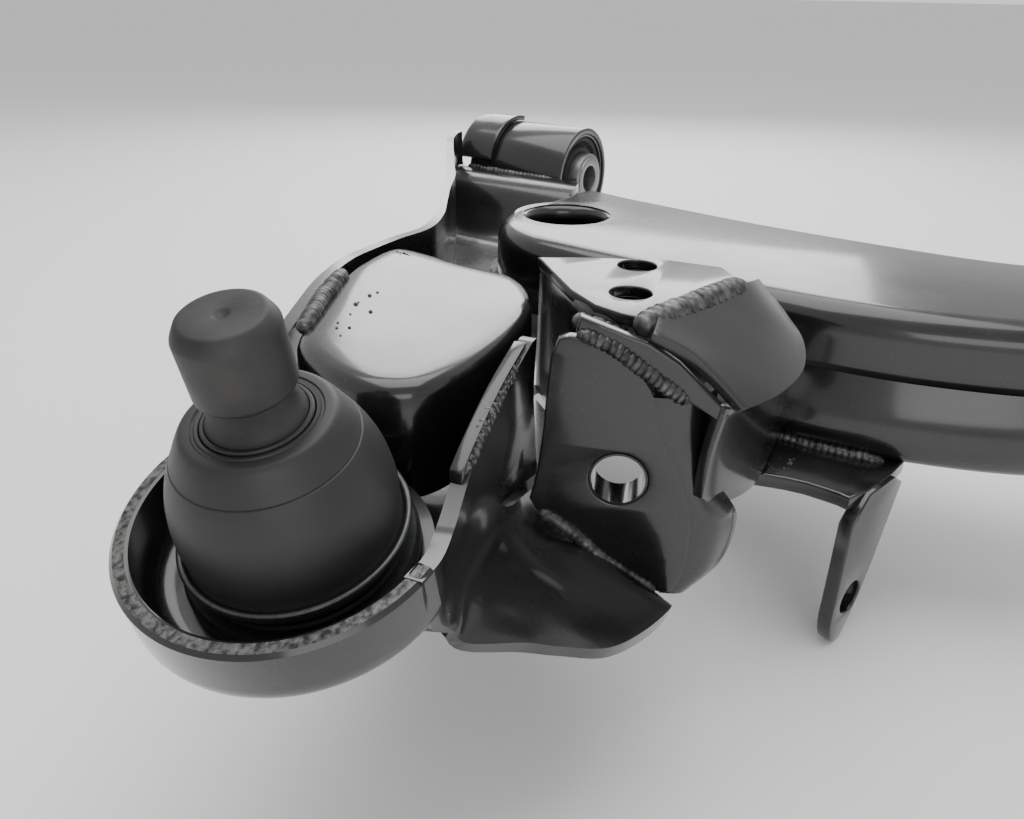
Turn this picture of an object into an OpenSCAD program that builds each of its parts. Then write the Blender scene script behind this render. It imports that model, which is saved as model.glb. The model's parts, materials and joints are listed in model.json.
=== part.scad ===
// Pressed-steel suspension control arm with a pinch-bolt ball joint.
// Origin at the middle of the rear bushing. +Y runs along the pivot line to the
// front bushing, +X points outboard to the ball joint, +Z is the ball stud side.

/* [Pivot bushings] */
// distance between the middles of the two bushings
pivot_span = 350; // [310:5:390]
// bore of both inner sleeves
bush_bore = 14.2; // [12.2:0.1:16.2]
// outside diameter of the inner sleeves
sleeve_d = 27; // [24:0.5:30]
// length of the inner sleeves
sleeve_l = 68; // [62:1:74]
// outside diameter of the welded bushing rings
ring_d = 54; // [50:1:60]
// length of the welded bushing rings
ring_l = 60; // [52:1:66]

/* [Ball joint] */
// ball joint centre line, distance outboard of the pivot line
bj_x = 329; // [310:1:345]
// ball joint centre line, distance ahead of the rear bushing
bj_y = 140; // [125:1:155]
// height of the cup rim centre
bj_z = -5; // [-12:1:2]
// lean of the ball joint axis outboard, degrees
bj_lean_out = 14.8; // [8:0.2:20]
// lean of the ball joint axis forward, degrees
bj_lean_fwd = 3.5; // [0:0.5:8]
// diameter of the stud head clamped by the pinch bolt
stud_d = 20.4; // [18.4:0.2:22]
// length of the stud head
stud_head = 16.5; // [14:0.5:20]
// diameter of the ball
ball_d = 30; // [27:0.5:31]
// outside radius of the cup
cup_r = 38; // [36:0.5:42]
// outside depth of the cup
cup_depth = 20; // [18:0.5:23]

/* [Sheet steel] */
// thickness of the main stamping
main_t = 4; // [3:0.25:4.5]
// thickness of the beam shells
beam_t = 3.2; // [2.5:0.1:4]
// thickness of the pocket plates
plate_t = 3.5; // [2.5:0.25:4]

/* [Box beam] */
// height of the beam top
beam_top_z = 3; // [0:0.5:6]
// height of the beam underside
beam_bot_z = -46; // [-50:0.5:-40]
// diameter of the hole in the beam top
beam_hole_d = 36; // [28:1:42]

/* [Damper pocket] */
// diameter of the damper bolt hole
damper_bolt_d = 14.6; // [12.6:0.2:16.6]
// clear width between the two ears
damper_gap = 50; // [44:1:56]
// diameter of the two drain holes in the closing plate
drain_d = 12; // [9:0.5:14]

/* [Stabiliser link tab] */
// diameter of the link hole
link_hole_d = 12.2; // [10.2:0.2:14.2]
// length of the tab below the beam
tab_len = 60; // [52:1:68]

/* [Hidden] */
$fn = 72;

// ---- helpers ------------------------------------------------------------
// solid between a list of rings, each ring the same number of 3-D points
function total(v) = v * [for (x = v) 1];
function flip(f) = [for (i = [len(f) - 1:-1:0]) f[i]];
module loft(r) {
  n = len(r[0]); m = len(r);
  pts = [for (q = r) for (p = q) p];
  sides = [for (i = [0:m - 2]) for (j = [0:n - 1])
    let (a = i * n + j, b = i * n + (j + 1) % n, c = b + n, d = a + n)
    each [[a, c, b], [a, d, c]]];
  faces = concat([[for (j = [0:n - 1]) j]], sides,
    [[for (j = [n - 1:-1:0]) (m - 1) * n + j]]);
  v = total([for (f = faces) for (k = [1:len(f) - 2])
    pts[f[0]] * cross(pts[f[k]], pts[f[k + 1]])]);
  polyhedron(points = pts, faces = v > 0 ? [for (f = faces) flip(f)] : faces);
}
// ring of a plan outline at height z
function at(o, z) = [for (p = o) [p[0], p[1], z]];
// unit vector
function un(v) = v / norm(v);
// outline moved inwards by d (outline runs counter-clockwise)
function inset(o, d) = let (n = len(o)) [for (i = [0:n - 1])
  let (a = un(o[i] - o[(i + n - 1) % n]), b = un(o[(i + 1) % n] - o[i]),
    na = [-a[1], a[0]], nb = [-b[1], b[0]], m = na + nb)
  o[i] + m * d * 2 / (m * m)];
// sheet wall along a plan path: each station is [x, y, z bottom, z top]
function side_pt(s, i, d) = let (n = len(s), a = un([s[min(i + 1, n - 1)][0] -
  s[max(i - 1, 0)][0], s[min(i + 1, n - 1)][1] - s[max(i - 1, 0)][1]]))
  [s[i][0] - a[1] * d, s[i][1] + a[0] * d];
module sheet_wall(s, t) {
  r = [for (i = [0:len(s) - 1]) let (o = [s[i][0], s[i][1]], q = side_pt(s, i, t))
    [[o[0], o[1], s[i][2]], [q[0], q[1], s[i][2]],
     [q[0], q[1], s[i][3]], [o[0], o[1], s[i][3]]]];
  for (i = [0:len(s) - 2]) hull() loft([r[i], r[i + 1]]);
}
// frame of the ball joint: local z is the joint axis, z = 0 the cup rim
module at_joint() translate([bj_x, bj_y, bj_z])
  rotate([-bj_lean_fwd, bj_lean_out, 0]) children();
// frame of the damper ear: local x along the plate, y up, z out of its face
ear_n = un([0.91, 0.42, 0]);
ear_o = [249.8, 180.5, -22];
module at_ear() multmatrix([[-ear_n[1], 0, ear_n[0], ear_o[0]],
  [ear_n[0], 0, ear_n[1], ear_o[1]], [0, 1, 0, ear_o[2]], [0, 0, 0, 1]]) children();
// cylinder along +Y centred at y
module ycyl(r, l, y = 0) translate([0, y, 0]) rotate([90, 0, 0])
  cylinder(r = r, h = l, center = true);
module yring(ro, ri, l, y = 0) difference() {
  ycyl(ro, l, y); ycyl(ri, l + 2, y);
}

// ---- derived sizes ------------------------------------------------------
can_ro = ring_d / 2 - 3;
can_ri = can_ro - 1.6;
sleeve_ro = sleeve_d / 2;
run_gap = 0.05;
fit_gap = 0.05;
floor_z = -30;
cup_ri = cup_r - main_t;
house_r = 23;
flange_r = 26.6;
ball_z = -9;

// ---- main stamping ------------------------------------------------------
// rear wall of the channel, outer face, from the cup to the rear bushing
wall_rear = [[316, 102, -26, 0], [304, 98, -26, 5], [288, 92, -28, 10], [266, 79, -30, 11],
  [246, 67, -30, 11], [225, 58, -30, 11], [198, 52, -30, 10], [168, 48, -30, 9],
  [147, 39, -30, 9], [131, 28, -30, 10], [110, 14, -30, 11], [90, 2, -30, 12],
  [72, -12, -30, 14], [57, -25, -30, 17], [46, -33, -30, 19], [38, -37, -30, 21],
  [28, -39, -28, 22.5], [16, -39, -14, 24], [6, -39, -6, 25]];
// front wall of the channel, outer face, from the cup to the ear plate
wall_front = [[333, 177.9, -22, -8.8], [322, 176, -26, -11], [311, 171, -31, -11],
  [303, 168, -36, -6], [296, 166, -37, 1], [280, 162, -38, 8], [259.5, 158, -38, 14]];
module cup_raw() at_joint() union() {
  rotate([0, 0, -122]) rotate_extrude(angle = 212) polygon(concat(
    [[cup_ri, 0], [cup_r, 0]],
    [for (a = [0:15:90]) [cup_r - 9 + 9 * cos(a), -cup_depth + 9 - 9 * sin(a)]],
    [[20, -cup_depth], [20, -cup_depth + main_t]],
    [for (a = [90:-15:0]) [cup_r - 9 + 5 * cos(a), -cup_depth + 9 - 5 * sin(a)]]));
  translate([0, 0, -cup_depth]) cylinder(r = cup_r - 9, h = main_t);
}
// flange flaring out below the front wall
module skirt_raw() loft([[[323, 173, -27], [321, 175, -30], [318, 173, -30], [320, 172, -27]],
  [[309, 166, -28], [316, 178, -35.5], [316.5, 178.5, -32], [309, 167, -24]],
  [[297, 163, -29], [304, 185, -40.5], [304.5, 185.5, -37], [297, 164, -22]],
  [[280, 158, -32], [289, 199, -46], [289.5, 199.5, -42.5], [280, 158, -26]],
  [[264, 154, -36], [268, 202, -50.5], [268.5, 202.5, -47], [264, 154, -30]],
  [[250, 150, -41], [247, 198, -62], [247.5, 198.5, -58.5], [250, 150, -35]]]);
module main_raw() union() {
  cup_raw();
  sheet_wall(flip(wall_rear), main_t);
  sheet_wall(wall_front, main_t);
  // channel floor, stepping up to the cup and to the bushing
  loft([for (s = [[322, 106, 172, -25], [300, 100, 165, -21], [284, 94, 162, -26],
      [262, 80, 158, -30], [246, 70, 158, -30], [238, 66, 158, -30], [225, 61, 145, -30],
      [209, 57, 128, -30], [198, 55, 132, -30], [168, 51, 134, -30], [147, 42, 140, -30], [131, 31, 70, -30], [110, 16, 54, -30],
      [90, 1, 48, -30], [72, -14, 44, -30]])
    [[s[0], s[1], s[3]], [s[0], s[2], s[3]], [s[0], s[2], s[3] + main_t],
     [s[0], s[1], s[3] + main_t]]]);
  // sloping face of the leg up to the crest beside the bushing
  loft([for (s = [[76, -10, 44, -30, -26], [64, -18, 46, -27, -21], [46, -31, 48, -6, 1],
      [40, -34, 48, -1, 4], [24, -38, 40, -1, 3]])
    [[s[0], s[1], s[3]], [s[0], s[2], s[3]], [s[0], s[2], s[4]], [s[0], s[1], s[4]]]]);
  skirt_raw();
  // sheet curled over the far part of the bushing ring
  translate([0, -38.5, 0]) rotate([-90, 0, 0]) rotate([0, 0, -100])
    rotate_extrude(angle = 70) translate([ring_d / 2, 0]) square([2.5, 22]);
}
module main_stamping() color("#2a2b2c") difference() {
  main_raw();
  at_joint() translate([0, 0, -cup_depth - 3]) cylinder(r = house_r + fit_gap, h = main_t + 6);
  ycyl(ring_d / 2 + fit_gap, ring_l + 24);
}

// ---- box beam -----------------------------------------------------------
yf = pivot_span;
beam_o = [[34, 51], [70, 47], [98, 44], [114, 49], [128, 60], [137, 74], [141, 92],
  [146, 140], [149, 186], [148, 215], [143, 242], [132, 272], [114, 302], [92, 328],
  [70, 350], [52, 366], [34, 372], [2, 372], [2, 328], [12, 324], [28, 306], [42, 280],
  [51, 250], [53, 218], [50, 160], [44, 118], [38, 84]];
function beam_pt(o) = [for (p = o) [p[0], p[1] > 300 ? p[1] + yf - 350 : p[1]]];
bo = beam_pt(beam_o);
module beam_upper() color("#2b2c2d") difference() {
  loft([at(bo, -20), at(bo, beam_top_z - 9), at(inset(bo, 1.2), beam_top_z - 5),
    at(inset(bo, 4), beam_top_z - 1.5), at(inset(bo, 9), beam_top_z)]);
  loft([at(inset(bo, beam_t), -21), at(inset(bo, beam_t), beam_top_z - 9),
    at(inset(bo, beam_t + 1), beam_top_z - 6.5),
    at(inset(bo, beam_t + 4), beam_top_z - beam_t - 1),
    at(inset(bo, beam_t + 6), beam_top_z - beam_t)]);
  translate([92, 72, -10]) cylinder(d = beam_hole_d, h = 20);
  ycyl(ring_d / 2 + fit_gap, ring_l + 1.6, yf);
  main_raw();
}
// the front face leans out towards the underside
bl = [for (p = bo) [p[0] > 120 ? p[0] + 6 : p[0], p[1]]];
bm = (bo + bl * 2) / 3;
module beam_lower() color("#27282a") difference() {
  loft([at(inset(bl, 9), beam_bot_z), at(inset(bl, 4), beam_bot_z + 1.5),
    at(inset(bl, 1.2), beam_bot_z + 5), at(bm, beam_bot_z + 9), at(bo, -20.1)]);
  loft([at(inset(bl, beam_t + 6), beam_bot_z + beam_t),
    at(inset(bl, beam_t + 4), beam_bot_z + beam_t + 1),
    at(inset(bl, beam_t + 1), beam_bot_z + 6.5),
    at(inset(bm, beam_t), beam_bot_z + 9), at(inset(bo, beam_t), -19)]);
  ycyl(ring_d / 2 + fit_gap, ring_l + 1.6, yf);
  main_raw();
}

// ---- inner panel and web ------------------------------------------------
module inner_panel() color("#343536") difference() {
  inner_raw();
  main_raw();
  at_joint() translate([0, 0, -cup_depth]) cylinder(r = flange_r + 0.1, h = 8.1);
  at_joint() translate([0, 0, -cup_depth]) cylinder(r = house_r + 0.1, h = cup_depth - 2.8);
}
module inner_raw() union() {
  // flat top
  loft([for (z = [9, 12]) [[203, 66, z], [226, 67, z], [247, 76, z], [288, 101, z],
    [299, 128, z], [302, 154, z], [278, 150, z], [248, 146, z], [227, 138, z], [207, 120, z]]]);
  // face dropping into the cup
  loft([[[288, 101, 9.1], [299, 128, 9.1], [302, 154, 9.1], [299, 154, 9.1], [296, 128, 9.1],
    [285, 101, 9.1]], [[290, 101, -15], [301, 128, -15], [304, 154, -15], [301, 154, -15],
    [298, 128, -15], [287, 101, -15]]]);
  // face dropping beside the web
  loft([for (z = [9.1, -19]) [[302, 154, z], [278, 150, z], [248, 146, z], [227, 138, z],
    [207, 120, z], [209, 118, z], [229, 135, z], [248, 143, z], [278, 147, z], [299, 151, z]]]);
}
// second sheet behind the front wall
web = [[303, 163.6, -16, -1], [296, 161.8, -16, 2], [280, 157.8, -19, 8.5], [262.5, 154.2, -22, 14]];
module web_plate() color("#2d2e2f") difference() {
  sheet_wall(web, 3.4);
  main_raw();
  ear_raw();
}

// ---- damper pocket ------------------------------------------------------
// flat closing plate with two drain holes, one side folded down into the channel
cp_top = 20;
cp_o = [[208, 128], [212, 132], [238, 160], [242, 178], [237, 180.5], [198, 192], [181, 176]];
module closing_plate() color("#303132") difference() {
  union() {
    translate([0, 0, cp_top - plate_t]) linear_extrude(plate_t) polygon(cp_o);
    sheet_wall([[208.1, 129.1, -25.95, cp_top - 0.5], [237.3, 160.6, -25.95, cp_top - 0.5]], -plate_t);
    sheet_wall([[236.6, 157.8, 10, cp_top - 0.7], [241, 177.2, 10, cp_top - 0.7]], plate_t);
  }
  for (p = [[224, 168], [199, 158]]) translate([p[0], p[1], 0]) cylinder(d = drain_d, h = 40);
}
// roof over the front of the pocket, flanged at the ear and flared past the beam
roof_o = [[-11.9, 45.4], [-1.1, 41.6], [5.2, 39.5], [13, 34.7], [18.4, 29.7], [24.6, 23.8],
  [26.2, 21]];
arc_i = [[23.5, 20], [16.4, 24.2], [9, 28.3], [3.7, 32.3], [-4.2, 37.7], [-13.1, 41.1]];
module cover_raw() {
  at_ear() linear_extrude(plate_t) polygon(concat(roof_o, arc_i));
  loft([
    [[250, 185.5, 17.5], [246, 194, 13.2], [243.5, 199.5, 8.2], [241, 205, 2.2], [240, 207, 0],
     [239, 204.5, -1.6], [240.5, 201, 2.4], [242.5, 196.5, 7.4], [243.5, 191.5, 10.6], [247, 183.5, 14.6]],
    [[238, 183, 19.6], [236, 194, 13.4], [232, 201, 8.4], [228, 208, 2.4], [226, 211.5, -0.6],
     [225.5, 208.4, -1.6], [227, 204.4, 1.8], [230, 198.4, 6.6], [234, 191.4, 11], [236, 181, 16.4]],
    [[218, 187.5, 19.6], [218, 196.6, 13.8], [215, 203, 8.8], [211, 209.4, 3], [209, 212.6, 0],
     [208.5, 209.6, -1.4], [210, 206, 1.8], [213.4, 200.4, 6.6], [216.4, 194, 11], [216.6, 185.4, 16.4]],
    [[202, 191.5, 19.6], [203, 198.4, 14], [200, 202.4, 10], [197, 206.4, 5.4], [196, 208.6, 3.4],
     [195.5, 205.6, 2.4], [196, 203.4, 4], [198.6, 199.8, 7.8], [201.4, 195.8, 11.4], [200.8, 189.4, 16.4]],
    [[190, 191, 17.5], [190, 194.6, 14.4], [189, 197, 11.4], [188, 199, 9], [187.6, 200, 7.6],
     [187, 197.4, 6], [187.4, 196.4, 7], [188, 194.4, 9], [188.6, 192, 11.6], [188.8, 188.6, 14.4]]]);
}
module cover_plate() color("#333436") difference() {
  cover_raw();
  closing_raw();
  ear_raw();
}
module closing_raw() loft([at(cp_o, cp_top - plate_t), at(cp_o, cp_top)]);
// upright side of the pocket between the ear and the beam
side_w = [for (s = [[244.4, 202.8, 243, 205.6, -25, 2], [232, 203.6, 231, 206, -33, -1],
  [200, 203.6, 200, 204.6, -44, -6], [156, 199, 156, 199, -44, -18]])
  [[s[0], s[1] - 3.2, s[4]], [s[0], s[1], s[4]], [s[2], s[3], s[5]], [s[2], s[3] - 3.2, s[5]]]];
module pocket_side() color("#2a2b2c") difference() {
  loft(side_w);
  ear_raw();
  cover_raw();
  main_raw();
  beam_hull();
}
module beam_hull() loft([at(inset(bl, 1.2), beam_bot_z), at(bm, beam_bot_z + 9), at(bo, -20),
  at(bo, beam_top_z)]);
// outer ear: flat face with a rounded top and a curled lobe at the lower corner
ear_o2 = [[-24.3, -10.5], [-14.9, -16], [-3.1, -26.5], [11.6, -35.2], [16.9, -37.3],
  [21.4, -28], [22, -11], [19.2, -1], [15.7, 7.8], [11, 16.3], [11, 26.4], [8.7, 28], [3.4, 32],
  [-4.5, 37.4], [-13.4, 40.8], [-19, 38.5], [-20.3, 22], [-20.6, 13.4], [-22.3, -2.2]];
module ear_raw() at_ear() {
  difference() {
    linear_extrude(plate_t) polygon(ear_o2);
    translate([0, 0, -1]) cylinder(d = damper_bolt_d + 1.2, h = 10);
  }
  loft([for (s = [[8.4, 25], [10.6, 16.3], [15.4, 7.8], [18.9, -1], [21.6, -11.8]])
    [[s[0] - 1.6, s[1], 0], [s[0], s[1], plate_t], [s[0] * 0.4 + 13.4, s[1], 0.6],
     [24.4, s[1] - 0.4, -9], [21.2, s[1] - 0.4, -10], [s[0] * 0.4 + 10.4, s[1], -2.6]]]);
  loft([for (s = [[22, -12, 34], [22, -20, 34], [21, -29, 32], [17, -36.6, 25]])
    [[s[0] - 1, s[1], 0], [s[0] + 1, s[1], plate_t], [(s[0] + s[2]) / 2 + 1, s[1] - 0.4, 0.4],
     [s[2], s[1] - 0.8, -8], [s[2] - 3, s[1] - 0.8, -9.5], [(s[0] + s[2]) / 2 - 1.5, s[1] - 0.4, -2.6]]]);
}
module ear_plate() color("#27282a") difference() { ear_raw(); skirt_raw(); }
module bolt_collar() color("#2c2d2e") at_ear() difference() {
  union() {
    translate([0, 0, -1]) cylinder(d = damper_bolt_d + 1.2, h = plate_t + 0.9);
    translate([0, 0, -7]) cylinder(d = damper_bolt_d + 9.4, h = 7);
  }
  translate([0, 0, -8]) cylinder(d = damper_bolt_d, h = 30);
}
module inner_ear() color("#2b2c2d") at_ear() translate([0, 0, -6 - damper_gap - plate_t])
  difference() {
    linear_extrude(plate_t) difference() {
      union() { circle(r = 16); translate([-16, 0]) square([32, cp_top - plate_t - ear_o[2]]); }
      circle(d = damper_bolt_d);
    }
  }
module weld_nut() color("#55565a") at_ear() translate([0, 0, -6 - damper_gap - plate_t - 11])
  difference() { cylinder(d = 24.2, h = 11, $fn = 6); translate([0, 0, -1]) cylinder(d = damper_bolt_d - 2, h = 20); }

// ---- stabiliser link tab ------------------------------------------------
// horizontal foot under the beam with the tab bent down from its front end
tab_t = 5;
tab_a = un([-31, 8]);
module tab_bracket() color("#2a2b2c") {
  translate([0, 0, beam_bot_z - 1 - tab_t]) linear_extrude(tab_t) polygon([[189, 188], [185, 199],
    [181, 213], [181.5, 225], [182.6, 230], [150, 238.5], [140, 238.5], [138, 196], [160, 186]]);
  multmatrix([[tab_a[0], 0, tab_a[1], 182.6], [tab_a[1], 0, -tab_a[0], 228.2],
      [0, 1, 0, beam_bot_z - 1], [0, 0, 0, 1]])
    difference() {
      linear_extrude(tab_t) polygon([[0, -0.6], [0, -38], [-0.6, -tab_len + 12],
        [1.4, -tab_len + 4], [5, -tab_len], [9, -tab_len], [13, -tab_len + 5], [18, -tab_len + 14],
        [23, -34], [28, -18], [33.4, -0.6]]);
      translate([11, -tab_len + 17, -1]) cylinder(d = link_hole_d, h = 20);
    }
}

// ---- weld beads ---------------------------------------------------------
module bead(pts, r) for (i = [0:len(pts) - 2]) hull() {
  translate(pts[i]) sphere(r = r, $fn = 16);
  translate(pts[i + 1]) sphere(r = r, $fn = 16);
}
module bead_cover() color("#3a3b3c") difference() {
  bead([[246, 181, 19], [224, 187, 20], [201, 192, 20]], 3.8);
  closing_plate();
  cover_plate();
  ear_raw();
}
module bead_ear() color("#3a3b3c") difference() {
  at_ear() bead([[-13, 41, 3.6], [-4, 37.6, 3.6], [4, 32, 3.6], [16, 24, 3.6]], 2.2);
  ear_raw();
  cover_raw();
  closing_plate();
}
module bead_panel() color("#3a3b3c") difference() {
  bead([[236, 71.6, 12], [262, 84, 12], [282, 97, 12]], 2.6);
  main_raw();
  inner_panel();
}
module bead_skirt() color("#3a3b3c") difference() {
  at_ear() bead([[-17, -13.6, 3.6], [-3, -25.5, 3.6], [11, -34.5, 3.6]], 2.2);
  ear_raw();
  main_raw();
}
module bead_web() color("#3a3b3c") difference() {
  bead([[300, 172, -1], [282, 167.6, 6], [266, 164, 12]], 2.4);
  main_raw();
  web_plate();
  ear_raw();
}
module bead_tab() color("#3a3b3c") difference() {
  bead([[154, 190, beam_bot_z - 0.4], [155, 212, beam_bot_z - 0.4], [153, 234, beam_bot_z - 0.4]], 2.2);
  tab_bracket();
  beam_hull();
}

// ---- pivot bushings -----------------------------------------------------
module bush_ring(y) yring(ring_d / 2, can_ro, ring_l, y);
module bush_can(y) yring(can_ro, can_ri, ring_l - 2, y);
module bush_rubber(y) difference() {
  ycyl(can_ri, ring_l - 4, y);
  ycyl(sleeve_ro + run_gap, ring_l, y);
  for (s = [-1, 1]) yring(can_ri - 2.5, sleeve_ro + 3, 8, y + s * (ring_l / 2 - 2));
}
module bush_sleeve(y) yring(sleeve_ro, bush_bore / 2, sleeve_l, y);
module rear_ring() color("#2c2d2e") bush_ring(0);
module rear_can() color("#232425") bush_can(0);
module rear_rubber() color("#161616") bush_rubber(0);
module rear_sleeve() color("#8d8f90") bush_sleeve(0);
module front_ring() color("#2c2d2e") bush_ring(yf);
module front_can() color("#232425") bush_can(yf);
module front_rubber() color("#161616") bush_rubber(yf);
module front_sleeve() color("#8d8f90") bush_sleeve(yf);

// ---- ball joint ---------------------------------------------------------
hf = -cup_depth + main_t + 4; // top of the housing flange
house_bot = -cup_depth - 12;
module joint_housing() color("#3b3d3f") at_joint() difference() {
  union() {
    translate([0, 0, -cup_depth + main_t]) cylinder(r = flange_r, h = 4);
    translate([0, 0, house_bot]) cylinder(r = house_r, h = -house_bot - 3);
  }
  translate([0, 0, house_bot - 1]) cylinder(r = 19, h = -house_bot - 6);
  translate([0, 0, house_bot - 1]) cylinder(r = 20.6, h = 5);
  translate([0, 0, -8]) cylinder(r1 = 14.6, r2 = 17.6, h = 6);
}
seat_bot = house_bot + 9;
module joint_cover() color("#4a4c4e") at_joint() translate([0, 0, house_bot + 1])
  cylinder(r = 20.6, h = 3);
module joint_spring() color("#77797b") at_joint() translate([0, 0, house_bot + 4]) difference() {
  cylinder(r1 = 17, r2 = 14, h = 2.4);
  translate([0, 0, -1.4]) cylinder(r1 = 16.4, r2 = 11, h = 4);
}
module joint_seat() color("#d8d4c8") at_joint() difference() {
  translate([0, 0, house_bot + 7]) cylinder(r = 18.95, h = -house_bot - 14.2);
  translate([0, 0, ball_z]) sphere(d = ball_d + 0.1, $fn = 96);
  translate([0, 0, ball_z]) cylinder(r1 = ball_d / 2 - 3, r2 = ball_d / 2 + 2, h = 6);
}
stud_top = 50;
neck_z = stud_top - stud_head;
module ball_stud() color("#5a5c5e") at_joint() union() {
  difference() {
    translate([0, 0, ball_z]) sphere(d = ball_d, $fn = 96);
    translate([0, 0, ball_z - ball_d / 2 - 1]) cylinder(r = 9, h = 2.6);
  }
  rotate_extrude() polygon([[0, ball_z], [8.4, ball_z + 6], [8.6, 4], [9.2, 20], [10.2, 25],
    [10.2, 26.5], [9.2, 29], [8.7, 31], [8.7, 33.5], [9.4, neck_z - 0.6], [stud_d / 2 - 0.6, neck_z],
    [stud_d / 2, neck_z + 0.8], [stud_d / 2, stud_top - 3.2], [stud_d / 2 - 0.5, stud_top - 1.8],
    [stud_d / 2 - 1.9, stud_top], [1.6, stud_top], [0, stud_top - 1.4]]);
}
module boot() color("#1c1c1d") at_joint() rotate_extrude() polygon([
  [23.2, -8.6], [24.5, -8.6], [24.7, -6.6], [24, -5.8], [23.6, -3.8], [24, 0], [24, 4],
  [23.5, 8], [22.6, 12], [21.3, 15.6], [19.7, 18.8], [18.4, 20.2], [17.2, 22.6], [15.9, 25],
  [15.2, 25.6], [11.4, 25.6], [11.4, 23.6], [14.8, 23.2], [16.4, 19.2], [18.2, 16.8],
  [19.8, 13.6], [21, 10.6], [21.8, 7], [22.1, 3], [22.2, -1], [23.1, -2.9]]);
module boot_lower_ring() color("#8a8c8e") at_joint() translate([0, 0, -5.4])
  rotate_extrude() translate([25.1, 0]) circle(r = 0.8, $fn = 20);
module boot_upper_ring() color("#303132") at_joint() translate([0, 0, 22.4]) difference() {
  cylinder(r = 11.3, h = 3.6); translate([0, 0, -1]) cylinder(r = 10.25, h = 6);
}

main_stamping();
beam_upper();
beam_lower();
inner_panel();
web_plate();
closing_plate();
cover_plate();
pocket_side();
ear_plate();
bolt_collar();
inner_ear();
weld_nut();
tab_bracket();
bead_cover();
bead_ear();
bead_panel();
bead_skirt();
bead_web();
bead_tab();
rear_ring();
rear_can();
rear_rubber();
rear_sleeve();
front_ring();
front_can();
front_rubber();
front_sleeve();
joint_housing();
joint_cover();
joint_spring();
joint_seat();
ball_stud();
boot();
boot_lower_ring();
boot_upper_ring();
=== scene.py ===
import json
import math

import bmesh
import bpy
from mathutils import Matrix, Vector


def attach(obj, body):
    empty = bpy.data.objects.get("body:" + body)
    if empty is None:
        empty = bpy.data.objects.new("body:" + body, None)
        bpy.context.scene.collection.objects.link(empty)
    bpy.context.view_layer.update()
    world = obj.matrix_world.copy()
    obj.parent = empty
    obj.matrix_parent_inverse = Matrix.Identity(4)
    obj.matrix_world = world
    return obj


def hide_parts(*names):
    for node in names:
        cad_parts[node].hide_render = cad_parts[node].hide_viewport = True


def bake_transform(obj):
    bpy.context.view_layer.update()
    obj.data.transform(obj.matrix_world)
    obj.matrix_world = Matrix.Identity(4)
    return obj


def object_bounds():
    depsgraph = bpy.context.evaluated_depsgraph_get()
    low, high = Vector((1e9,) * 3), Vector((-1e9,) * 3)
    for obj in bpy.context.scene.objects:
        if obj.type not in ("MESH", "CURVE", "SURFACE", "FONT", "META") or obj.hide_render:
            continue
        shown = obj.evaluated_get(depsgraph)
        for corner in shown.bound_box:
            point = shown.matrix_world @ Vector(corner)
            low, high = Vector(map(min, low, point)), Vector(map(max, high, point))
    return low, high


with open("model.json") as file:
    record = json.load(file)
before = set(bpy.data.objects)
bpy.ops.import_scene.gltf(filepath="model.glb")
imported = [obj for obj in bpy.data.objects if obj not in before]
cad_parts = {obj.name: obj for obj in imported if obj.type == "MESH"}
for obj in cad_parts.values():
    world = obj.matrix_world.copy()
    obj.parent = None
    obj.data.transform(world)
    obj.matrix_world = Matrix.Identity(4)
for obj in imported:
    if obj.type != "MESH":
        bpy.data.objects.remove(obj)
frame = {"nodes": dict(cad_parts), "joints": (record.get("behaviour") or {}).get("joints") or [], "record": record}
cad_low, cad_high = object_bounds()
mounts = {m["name"]: m for m in frame["record"]["mounts"]}
joints = {j["name"]: j for j in frame["joints"]}
mm = 0.001

# ---- Camera, light and floor ------------------------------------------------------------
# The arm is seen from close by, over the ball stud and along the beam, on a pale floor
# under one broad overhead light, with one from the back and a weaker one from the front.
ahead = Vector((-0.753, -0.486, -0.444)).normalized()
across = Vector((-0.548, 0.837, 0.015))
across = (across - ahead * across.dot(ahead)).normalized()
upward = across.cross(ahead)
camera = bpy.data.objects.new("camera", bpy.data.cameras.new("camera"))
camera.data.lens = 29.88
camera.data.sensor_width = 36
camera.data.clip_start = 0.005
camera.matrix_world = Matrix.Translation((0.4334, 0.2642, 0.0958)) @ Matrix(
    (across, upward, -ahead)).transposed().to_4x4()
bpy.context.scene.collection.objects.link(camera)
bpy.context.scene.camera = camera


def area_light(name, place, target, size, power):
    lamp = bpy.data.objects.new(name, bpy.data.lights.new(name, "AREA"))
    lamp.data.shape = "RECTANGLE"
    lamp.data.size, lamp.data.size_y = size
    lamp.data.energy = power
    lamp.location = place
    aim = Vector(target) - Vector(place)
    lamp.rotation_mode = "QUATERNION"
    lamp.rotation_quaternion = aim.to_track_quat("-Z", "Y")
    bpy.context.scene.collection.objects.link(lamp)


area_light("overhead", (0.05, 0.05, 0.95), (0.15, 0.15, 0), (1.0, 1.0), 9)
area_light("back", (-0.75, -0.35, 0.55), (0.15, 0.15, 0), (0.9, 0.6), 7)
area_light("front", (0.9, 0.75, 0.25), (0.25, 0.15, 0), (0.6, 0.4), 1.6)
world = bpy.data.worlds.new("studio")
world.use_nodes = True
world.node_tree.nodes["Background"].inputs["Color"].default_value = (1, 1, 1, 1)
# the sky lights the part gently and is seen by the camera as a brighter, plain white
seen = world.node_tree.nodes.new("ShaderNodeLightPath")
level = world.node_tree.nodes.new("ShaderNodeMath")
level.operation = "MULTIPLY_ADD"
level.inputs[1].default_value, level.inputs[2].default_value = 0.3, 0.68
world.node_tree.links.new(seen.outputs["Is Camera Ray"], level.inputs[0])
world.node_tree.links.new(level.outputs[0], world.node_tree.nodes["Background"].inputs["Strength"])
bpy.context.scene.world = world


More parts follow.
